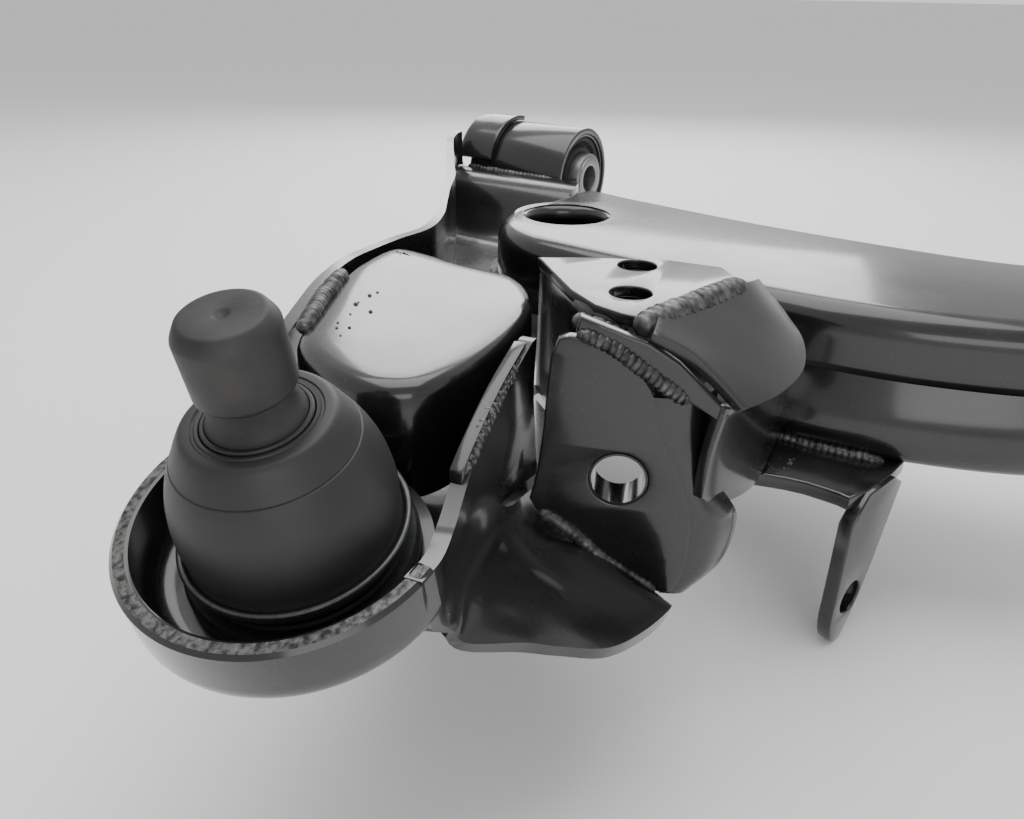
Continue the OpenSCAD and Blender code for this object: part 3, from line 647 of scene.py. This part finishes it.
def bead_tree():
    """Sweeps a round bead along an edge chain: radius, ripple spacing and depth, and grit."""
    tree = bpy.data.node_groups.new("rippled_bead", "GeometryNodeTree")
    face = tree.interface
    face.new_socket("Geometry", in_out="INPUT", socket_type="NodeSocketGeometry")
    for name, value in (("Radius", 0.002), ("Ripple Spacing", 0.0024), ("Ripple Depth", 0.16),
                        ("Grit", 0.0004)):
        face.new_socket(name, in_out="INPUT", socket_type="NodeSocketFloat").default_value = value
    face.new_socket("Material", in_out="INPUT", socket_type="NodeSocketMaterial")
    face.new_socket("Geometry", in_out="OUTPUT", socket_type="NodeSocketGeometry")
    given = add(tree, "NodeGroupInput").outputs
    curve = add(tree, "GeometryNodeMeshToCurve", {"Mesh": given["Geometry"]})
    step = add(tree, "ShaderNodeMath", {0: given["Ripple Spacing"], 1: 0.2}, operation="MULTIPLY")
    fine = add(tree, "GeometryNodeResampleCurve", {
        "Curve": curve.outputs["Curve"], "Length": step.outputs[0]}, mode="LENGTH")
    along = add(tree, "GeometryNodeSplineParameter").outputs
    phase = add(tree, "ShaderNodeMath", {0: along["Length"], 1: given["Ripple Spacing"]},
                operation="DIVIDE")
    part = add(tree, "ShaderNodeMath", {0: phase.outputs[0]}, operation="FRACT")
    dip = add(tree, "ShaderNodeMath", {0: part.outputs[0], 1: 2.0}, operation="POWER")
    depth = add(tree, "ShaderNodeMath", {0: dip.outputs[0], 1: given["Ripple Depth"]},
                operation="MULTIPLY")
    swell = add(tree, "ShaderNodeMath", {0: 1.08, 1: depth.outputs[0]}, operation="SUBTRACT")
    centre = add(tree, "ShaderNodeMath", {0: along["Factor"], 1: 2.0, 2: -1.0},
                 operation="MULTIPLY_ADD")
    size = add(tree, "ShaderNodeMath", {0: centre.outputs[0]}, operation="ABSOLUTE")
    sharp = add(tree, "ShaderNodeMath", {0: size.outputs[0], 1: 14.0}, operation="POWER")
    left = add(tree, "ShaderNodeMath", {0: 1.04, 1: sharp.outputs[0]}, operation="SUBTRACT")
    taper = add(tree, "ShaderNodeMath", {0: left.outputs[0]}, operation="SQRT")
    shape = add(tree, "ShaderNodeMath", {0: swell.outputs[0], 1: taper.outputs[0]},
                operation="MULTIPLY")
    radius = add(tree, "ShaderNodeMath", {0: shape.outputs[0], 1: given["Radius"]},
                 operation="MULTIPLY")
    ring = add(tree, "GeometryNodeCurvePrimitiveCircle", {"Resolution": 18, "Radius": 1.0})
    swept = add(tree, "GeometryNodeCurveToMesh", {
        "Curve": fine.outputs["Curve"], "Profile Curve": ring.outputs["Curve"],
        "Scale": radius.outputs[0], "Fill Caps": True})
    noise = add(tree, "ShaderNodeTexNoise", {"Scale": 330.0, "Detail": 3.0})
    lift = add(tree, "ShaderNodeMath", {0: noise.outputs["Fac"], 1: 0.5}, operation="SUBTRACT")
    rise = add(tree, "ShaderNodeMath", {0: lift.outputs[0], 1: given["Grit"]}, operation="MULTIPLY")
    push = add(tree, "ShaderNodeVectorMath", {
        0: add(tree, "GeometryNodeInputNormal").outputs["Normal"], "Scale": rise.outputs[0]},
        operation="SCALE")
    moved = add(tree, "GeometryNodeSetPosition", {
        "Geometry": swept.outputs["Mesh"], "Offset": push.outputs["Vector"]})
    real = add(tree, "GeometryNodeRealizeInstances", {"Geometry": moved.outputs["Geometry"]})
    painted = add(tree, "GeometryNodeSetMaterial", {
        "Geometry": real.outputs["Geometry"], "Material": given["Material"]})
    add(tree, "NodeGroupOutput", {"Geometry": painted.outputs["Geometry"]})
    return tree


rippled_bead = bead_tree()


def run_tree(piece, tree, values):
    """Runs a node tree on a piece with named input values and keeps the result as its mesh."""
    nodes = piece.modifiers.new(tree.name, "NODES")
    nodes.node_group = tree
    for item in tree.interface.items_tree:
        if item.item_type == "SOCKET" and item.in_out == "INPUT" and item.name in values:
            nodes[item.identifier] = values[item.name]
    return settle(piece, 60)


def weld(name, points, radius, node=None, spacing=2.4, depth=0.16, grit=0.4, material=coated_weld):
    line = through(points, 6)
    mesh = bpy.data.meshes.new(name)
    mesh.from_pydata([p * mm for p in line], [(i, i + 1) for i in range(len(line) - 1)], [])
    piece = run_tree(link(name, mesh), rippled_bead, {
        "Radius": radius * mm, "Ripple Spacing": spacing * mm, "Ripple Depth": depth,
        "Grit": grit * mm, "Material": material})
    finish_piece(piece, "arm", "weld_metal", material, *([node] if node else []))


def on_ear(points, height=3.4):
    return [ear_place @ (Vector((x, y, height)) * mm) / mm for x, y in points]


weld("bead_cover_skin", [(246, 181, 18.6), (236, 184, 19.4), (224, 187, 19.6), (212, 189.6, 19.8),
                         (201, 192, 19.6)], 3.9, "bead_cover", 3.0, 0.2, 0.9)
weld("bead_ear_skin", on_ear([(-13, 41.4), (-4, 38), (4, 32.6), (16, 24.4)]), 2.0, "bead_ear", 1.8, 0.3, 1.0)
weld("bead_panel_skin", [(238, 71.5, 11.4), (250, 78, 11.6), (262, 85, 11.6), (282, 98, 11.2)], 2.5,
     "bead_panel", 2.2, 0.3, 1.3)
weld("bead_skirt_skin", on_ear([(-21, -12), (-12, -17.6), (-3, -25.8), (6, -31.6), (13, -35.4)]), 1.9,
     "bead_skirt", 2.0, 0.22, 0.6)
# the web weld takes the brighter metal colour: a painted highlight along the bead
weld("bead_web_skin", [(301, 165.6, -2.6), (292, 163.4, 2.2), (282, 161, 6.2), (272, 158.6, 9.6),
                       (264, 156.6, 12.4)], 1.9, "bead_web", 2.0, 0.4, 1.6, bright_edge)
weld("bead_tab_skin", [(154, 190, beam_bottom - 0.6), (155, 212, beam_bottom - 0.6),
                       (153, 234, beam_bottom - 0.6)], 2.1, "bead_tab", 2.2, 0.25, 0.8)
weld("bead_tab_front", [(160, 187, beam_bottom - 0.2), (150, 191, beam_bottom - 0.2),
                        (144, 199, beam_bottom - 0.2)], 1.9, None, 2.2, 0.25, 0.8)
weld("bead_fold", [(240.5, 160, 15), (243, 168, 15.5), (245, 176, 15)], 2.4, None, 2.2, 0.35, 1.4)
weld("bead_rear_ring", [(26.4, -31, 3.6), (27.6, -12, 2.8), (27.6, 8, 2.4), (26.8, 26, 2.2)], 2.2,
     None, 2.4, 0.22, 0.8)
weld("bead_channel_beam", [(96, 42.6, -25), (114, 47.4, -25), (129, 58.6, -25), (139, 73, -25),
                           (143.6, 92, -25), (147.4, 120, -25), (149.4, 132, -25)], 2.2,
     None, 2.4, 0.22, 0.7)
weld("bead_front_ring", [(27.2, 322, -8), (28.6, 334, -6), (28.6, 352, -6), (28, 366, -6)], 2.2,
     None, 2.4, 0.22, 0.8)


def spatter_tree():
    """Small balls scattered on a patch: how many, how large, and the seed of the scatter."""
    tree = bpy.data.node_groups.new("weld_spatter", "GeometryNodeTree")
    face = tree.interface
    face.new_socket("Geometry", in_out="INPUT", socket_type="NodeSocketGeometry")
    face.new_socket("Density", in_out="INPUT", socket_type="NodeSocketFloat").default_value = 20000
    face.new_socket("Size", in_out="INPUT", socket_type="NodeSocketFloat").default_value = 0.0006
    face.new_socket("Seed", in_out="INPUT", socket_type="NodeSocketInt").default_value = 3
    face.new_socket("Material", in_out="INPUT", socket_type="NodeSocketMaterial")
    face.new_socket("Geometry", in_out="OUTPUT", socket_type="NodeSocketGeometry")
    given = add(tree, "NodeGroupInput").outputs
    spread = add(tree, "GeometryNodeDistributePointsOnFaces", {
        "Mesh": given["Geometry"], "Density": given["Density"], "Seed": given["Seed"]})
    drop = add(tree, "GeometryNodeMeshIcoSphere", {"Radius": given["Size"], "Subdivisions": 2})
    scale = add(tree, "FunctionNodeRandomValue", {"Min": 0.35, "Max": 1.0, "Seed": given["Seed"]})
    drops = add(tree, "GeometryNodeInstanceOnPoints", {
        "Points": spread.outputs["Points"], "Instance": drop.outputs["Mesh"]})
    tree.links.new(scale.outputs[1], drops.inputs["Scale"])
    real = add(tree, "GeometryNodeRealizeInstances", {"Geometry": drops.outputs["Instances"]})
    painted = add(tree, "GeometryNodeSetMaterial", {
        "Geometry": real.outputs["Geometry"], "Material": given["Material"]})
    add(tree, "NodeGroupOutput", {"Geometry": painted.outputs["Geometry"]})
    return tree


weld_spatter = spatter_tree()


def spatter(name, corners, density, size, seed):
    mesh = bpy.data.meshes.new(name)
    mesh.from_pydata([Vector(c) * mm for c in corners], [], [tuple(range(len(corners)))])
    piece = run_tree(link(name, mesh), weld_spatter, {
        "Density": density * 1e6, "Size": size * mm, "Seed": seed, "Material": coated_weld})
    finish_piece(piece, "arm", "weld_metal", coated_weld)


spatter("spatter_panel", [(240, 84, 12), (282, 107, 12), (280, 118, 12), (240, 92, 12)], 0.03, 0.8, 5)
spatter("spatter_foot", [(180, 192, beam_bottom - 1), (180, 214, beam_bottom - 1),
                         (166, 214, beam_bottom - 1), (166, 192, beam_bottom - 1)], 0.05, 0.7, 9)

# ---- Pivot bushings --------------------------------------------------------------------------
# A steel ring welded to the arm holds a pressed-in can with a rubber bonded to it and to a
# thick turned inner sleeve, which the pivot bolt clamps in the chassis bracket.
def turned_steel(name, dark, light, rough):
    """Turned and plated steel: bright, with fine lathe marks round the axis."""
    material, tree, shader = new_material(name)
    where = add(tree, "ShaderNodeTexCoord").outputs["Object"]
    marks = add(tree, "ShaderNodeTexNoise", {"Vector": where, "Scale": 700, "Detail": 3})
    tone = add(tree, "ShaderNodeValToRGB", {"Fac": marks.outputs["Fac"]})
    tone.color_ramp.elements[0].color = linear(dark)
    tone.color_ramp.elements[1].color = linear(light)
    tree.links.new(tone.outputs["Color"], shader.inputs["Base Color"])
    shader.inputs["Metallic"].default_value = 0.9
    shader.inputs["Roughness"].default_value = rough
    fine = add(tree, "ShaderNodeBump", {
        "Height": marks.outputs["Fac"], "Strength": 0.2, "Distance": 0.0002})
    tree.links.new(fine.outputs["Normal"], shader.inputs["Normal"])
    return material


def moulded_rubber(name, dark, light, rough):
    """Moulded rubber: near black, dull, with a fine grain and a pale bloom in patches."""
    material, tree, shader = new_material(name)
    where = add(tree, "ShaderNodeTexCoord").outputs["Object"]
    bloom = add(tree, "ShaderNodeTexNoise", {"Vector": where, "Scale": 60, "Detail": 5})
    tone = add(tree, "ShaderNodeValToRGB", {"Fac": bloom.outputs["Fac"]})
    tone.color_ramp.elements[0].position, tone.color_ramp.elements[1].position = 0.3, 0.75
    tone.color_ramp.elements[0].color = linear(dark)
    tone.color_ramp.elements[1].color = linear(light)
    tree.links.new(tone.outputs["Color"], shader.inputs["Base Color"])
    shader.inputs["Roughness"].default_value = rough
    grain = add(tree, "ShaderNodeTexNoise", {"Vector": where, "Scale": 1100, "Detail": 2})
    fine = add(tree, "ShaderNodeBump", {
        "Height": grain.outputs["Fac"], "Strength": 0.15, "Distance": 0.0002})
    tree.links.new(fine.outputs["Normal"], shader.inputs["Normal"])
    return material


plated_sleeve = turned_steel("zinc_plated_steel", "#6c6d6e", "#9c9d9e", 0.35)
bush_rubber = moulded_rubber("natural_rubber", "#1b1b1b", "#2c2c2b", 0.7)
can_outer, can_inner = ring_radius - 3.0, ring_radius - 4.6
sleeve_outer, sleeve_bore, sleeve_length = 13.5, mounts["rear_bush_bore"]["dims"]["r_mm"], 68.0
half_ring, half_sleeve = ring_length / 2, sleeve_length / 2
hollow = [(can_inner - 2.5, 0), (can_inner - 3.5, -3.2), (sleeve_outer + 4, -3.2), (sleeve_outer + 3, 0)]
for end in ("rear", "front"):
    place = ring_place[end]
    ring = turned(f"{end}_ring_skin", [(can_outer, -half_ring), (ring_radius, -half_ring),
                                       (ring_radius, half_ring), (can_outer, half_ring)], place, edge=0.7)
    finish_piece(ring, "arm", "ecoat_steel", black_coat, f"{end}_ring")
    can = turned(f"{end}_can_skin", [(can_inner, 1 - half_ring), (can_outer - 0.02, 1 - half_ring),
                                     (can_outer - 0.02, half_ring - 1), (can_inner, half_ring - 1)],
                 place, edge=0.4)
    finish_piece(can, "arm", "ecoat_steel", black_coat, f"{end}_can")
    face = half_ring - 2
    rubber = turned(f"{end}_rubber_skin",
                    [(sleeve_outer + 0.05, -face), (sleeve_outer + 3, -face)]
                    + [(r, -face - z) for r, z in reversed(hollow)][1:-1]
                    + [(can_inner - 2.5, -face), (can_inner - 0.02, -face), (can_inner - 0.02, face),
                       (can_inner - 2.5, face)]
                    + [(r, face + z) for r, z in hollow][1:-1]
                    + [(sleeve_outer + 3, face), (sleeve_outer + 0.05, face)], place, edge=0.8)
    finish_piece(rubber, "arm", "bushing_rubber", bush_rubber, f"{end}_rubber")
    sleeve = turned(f"{end}_sleeve_skin",
                    [(sleeve_bore, -half_sleeve), (sleeve_outer - 2.4, -half_sleeve),
                     (sleeve_outer - 2.4, 0.6 - half_sleeve), (sleeve_outer, 0.6 - half_sleeve),
                     (sleeve_outer, half_sleeve - 0.6), (sleeve_outer - 2.4, half_sleeve - 0.6),
                     (sleeve_outer - 2.4, half_sleeve), (sleeve_bore, half_sleeve)], place, edge=0.45)
    finish_piece(sleeve, f"{end}_core", "sleeve_steel", plated_sleeve, f"{end}_sleeve")

# ---- Ball joint ------------------------------------------------------------------------------
# A forged housing is pressed into the cup. The stud has a plain head for the knuckle's pinch
# clamp, a waist for the clamp's bolt and a flare that carries the boot's upper bead.
housing_steel = turned_steel("phosphated_forging", "#2c2d2e", "#434445", 0.5)
house_radius, flange_radius = 23.0, 26.6
flange_top, house_bottom = -12.0, -32.0
house_profile = [(19, house_bottom), (house_radius - 1, house_bottom), (house_radius, house_bottom + 1),
                 (house_radius, -cup_depth + sheet), (flange_radius - 0.6, -cup_depth + sheet),
                 (flange_radius, -cup_depth + sheet + 0.6), (flange_radius, flange_top - 0.8),
                 (flange_radius - 0.8, flange_top), (house_radius + 0.6, flange_top),
                 (house_radius, flange_top + 0.6), (house_radius, -4), (house_radius - 1, -3),
                 (17.2, -3), (14.8, -8), (19, -8)]
housing = turned("joint_housing_skin", house_profile, joint_place)
finish_piece(housing, "arm", "housing_steel", housing_steel, "joint_housing")


def forged_steel(name):
    """Cold-forged steel with a dark phosphate: matt grey, faint scale, paler rubbed patches."""
    material, tree, shader = new_material(name)
    where = add(tree, "ShaderNodeTexCoord").outputs["Object"]
    cloud = add(tree, "ShaderNodeTexNoise", {"Vector": where, "Scale": 90, "Detail": 6})
    tone = add(tree, "ShaderNodeValToRGB", {"Fac": cloud.outputs["Fac"]})
    tone.color_ramp.elements[0].position, tone.color_ramp.elements[1].position = 0.3, 0.75
    tone.color_ramp.elements[0].color = linear("#303031")
    tone.color_ramp.elements[1].color = linear("#454443")
    tree.links.new(tone.outputs["Color"], shader.inputs["Base Color"])
    shader.inputs["Metallic"].default_value = 0.45
    shader.inputs["Roughness"].default_value = 0.55
    scale = add(tree, "ShaderNodeTexNoise", {"Vector": where, "Scale": 1000, "Detail": 3})
    fine = add(tree, "ShaderNodeBump", {
        "Height": scale.outputs["Fac"], "Strength": 0.25, "Distance": 0.0002})
    tree.links.new(fine.outputs["Normal"], shader.inputs["Normal"])
    return material


stud_radius, stud_top, neck = mounts["stud_head"]["dims"]["r_mm"], 50.0, 33.5
ball_radius = 15.0
ball_arc = arc(ball_radius, (0, -ball_below_rim), -66, 56, 26)
stud_profile = ([(0, ball_arc[0][1])] + ball_arc
                + [(8.5, 4.4), (8.7, 8), (9.0, 16), (9.3, 21), (9.8, 24), (10.2, 25.2), (10.2, 26.4),
                   (9.7, 27.4), (9.1, 28.6), (8.75, 30), (8.65, 31.6), (8.75, 32.6), (9.3, 33.1),
                   (stud_radius - 0.5, neck + 0.1), (stud_radius - 0.1, neck + 0.5),
                   (stud_radius, neck + 1), (stud_radius, stud_top - 3.4),
                   (stud_radius - 0.12, stud_top - 2.9), (stud_radius - 0.4, stud_top - 2.3),
                   (stud_radius - 1.5, stud_top - 0.4), (stud_radius - 2.1, stud_top - 0.05),
                   (stud_radius - 2.6, stud_top), (2.0, stud_top), (1.5, stud_top - 0.25),
                   (0, stud_top - 1.4)])
stud = turned("ball_stud_skin", stud_profile, joint_place, 112)
finish_piece(stud, "stud", "stud_steel", forged_steel("phosphated_forged_steel"), "ball_stud")

# ---- Boot ------------------------------------------------------------------------------------
# A moulded rubber boot with a flat top and a chamfered shoulder. A wire ring holds its lower
# lip on the housing and its upper bead grips the stud's flare.
boot_rubber = moulded_rubber("chloroprene_rubber", "#222222", "#2e2e2e", 0.5)
boot_outside = through([(24.6, -8.4, 0), (24.8, -6.8, 0), (24.1, -5.6, 0), (23.7, -3.8, 0), (23.95, -1, 0),
                        (24.1, 2, 0), (23.8, 6, 0), (23, 10.5, 0), (21.9, 14, 0), (20.6, 17, 0),
                        (19.6, 18.9, 0)], 4)
boot_shoulder = through([(19.3, 19.4, 0), (18.6, 20.6, 0), (17.4, 22.8, 0), (16.2, 24.7, 0),
                         (15.4, 25.5, 0), (14.6, 25.75, 0)], 3)
boot_profile = ([(p.x, p.y) for p in boot_outside] + [(19.25, 19.05)]
                + [(p.x, p.y) for p in boot_shoulder]
                + [(13.4, 25.75), (13.1, 25.4), (12.6, 25.4), (12.3, 25.75), (11.7, 25.7), (11.4, 25.3),
                   (11.4, 23.8), (14.8, 23.2), (16.4, 19.4), (18.2, 16.6), (19.8, 13.4), (21, 10.4),
                   (21.8, 7), (22.1, 3), (22.2, -1), (23.15, -2.9), (23.3, -8.2)])
boot = turned("boot_skin", boot_profile, joint_place, 128)
boot.data.materials.append(boot_rubber)
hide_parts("boot")
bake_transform(boot)
lower_ring = turned("boot_lower_ring_skin",
                    arc(0.85, (25.0, -5.5), 0, 337.5, 16), joint_place, 96)
ring_wire = turned_steel("spring_steel_wire", "#3f4041", "#6a6b6c", 0.4)
finish_piece(lower_ring, "race", "spring_steel", ring_wire, "boot_lower_ring")
upper_ring = turned("boot_upper_ring_skin", [(10.25, 22.5), (11.3, 22.5), (11.3, 25.9), (11, 26.2),
                                             (10.5, 26.2), (10.25, 25.9)], joint_place, 96)
finish_piece(upper_ring, "collar", "boot_rubber", boot_rubber, "boot_upper_ring")

# ---- Plain parts that keep their shape ---------------------------------------------------------
# The collar round the damper bolt, the hidden inner ear with its nut, and the inside of the
# ball joint are as simple as they look, so they keep their shape and get their finish here.
acetal, tree, shader = new_material("moulded_acetal")
where = add(tree, "ShaderNodeTexCoord").outputs["Object"]
flow = add(tree, "ShaderNodeTexNoise", {"Vector": where, "Scale": 120, "Detail": 2})
tint = add(tree, "ShaderNodeValToRGB", {"Fac": flow.outputs["Fac"]})
tint.color_ramp.elements[0].color, tint.color_ramp.elements[1].color = linear("#cfcabc"), linear("#ded9cc")
tree.links.new(tint.outputs["Color"], shader.inputs["Base Color"])
shader.inputs["Roughness"].default_value = 0.45
nut_steel = turned_steel("plain_nut_steel", "#4a4a4b", "#777776", 0.4)
kept = {"bolt_collar": black_coat, "inner_ear": black_coat, "weld_nut": nut_steel,
        "joint_cover": housing_steel, "joint_spring": ring_wire, "joint_seat": acetal}
for node, material in kept.items():
    shape = frame["nodes"][node]
    shape.data.materials.clear()
    shape.data.materials.append(material)
